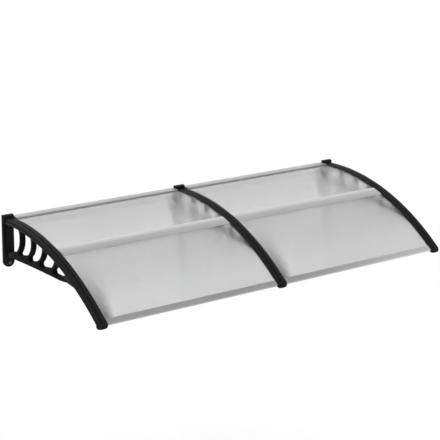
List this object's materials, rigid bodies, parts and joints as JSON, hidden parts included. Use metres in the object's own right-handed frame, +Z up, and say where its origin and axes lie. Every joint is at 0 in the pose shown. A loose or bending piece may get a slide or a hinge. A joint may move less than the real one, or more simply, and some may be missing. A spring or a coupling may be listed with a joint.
{
  "type": "window awning",
  "caption": "Curved canopy over a door or window: black arms on wall plates carry translucent twin-wall sheets between aluminium bars.",
  "frame": {"origin": "on the wall, at the centre of the back face of the middle bracket's wall plate", "axes": "+X along the wall, -Y out from the wall, +Z up"},
  "size_m": [1.997, 0.9036, 0.2787],
  "materials": {
    "bracket_plastic": "moulded black plastic, satin",
    "clear_sheet": "translucent twin-wall sheet",
    "mill_aluminium": "satin extruded aluminium",
    "seal_rubber": "black rubber",
    "zinc_steel": "zinc-plated steel"
  },
  "bodies": {
    "root": {"bracket_left": "bracket_plastic", "cover_strip_left": "bracket_plastic", "washer_left_upper": "zinc_steel", "wall_bolt_left_upper": "zinc_steel", "washer_left_lower": "zinc_steel", "wall_bolt_left_lower": "zinc_steel", "cover_screw_left_1": "zinc_steel", "cover_screw_left_2": "zinc_steel", "cover_screw_left_3": "zinc_steel", "cover_screw_left_4": "zinc_steel", "bracket_middle": "bracket_plastic", "cover_strip_middle": "bracket_plastic", "washer_middle_upper": "zinc_steel", "wall_bolt_middle_upper": "zinc_steel", "washer_middle_lower": "zinc_steel", "wall_bolt_middle_lower": "zinc_steel", "cover_screw_middle_1": "zinc_steel", "cover_screw_middle_2": "zinc_steel", "cover_screw_middle_3": "zinc_steel", "cover_screw_middle_4": "zinc_steel", "bracket_right": "bracket_plastic", "cover_strip_right": "bracket_plastic", "washer_right_upper": "zinc_steel", "wall_bolt_right_upper": "zinc_steel", "washer_right_lower": "zinc_steel", "wall_bolt_right_lower": "zinc_steel", "cover_screw_right_1": "zinc_steel", "cover_screw_right_2": "zinc_steel", "cover_screw_right_3": "zinc_steel", "cover_screw_right_4": "zinc_steel", "upper_sheet_left": "clear_sheet", "lower_sheet_left": "clear_sheet", "rear_bar_left": "mill_aluminium", "joining_bar_left": "mill_aluminium", "front_bar_left": "mill_aluminium", "rear_seal_left": "seal_rubber", "upper_sheet_right": "clear_sheet", "lower_sheet_right": "clear_sheet", "rear_bar_right": "mill_aluminium", "joining_bar_right": "mill_aluminium", "front_bar_right": "mill_aluminium", "rear_seal_right": "seal_rubber"}
  },
  "joints": []
}
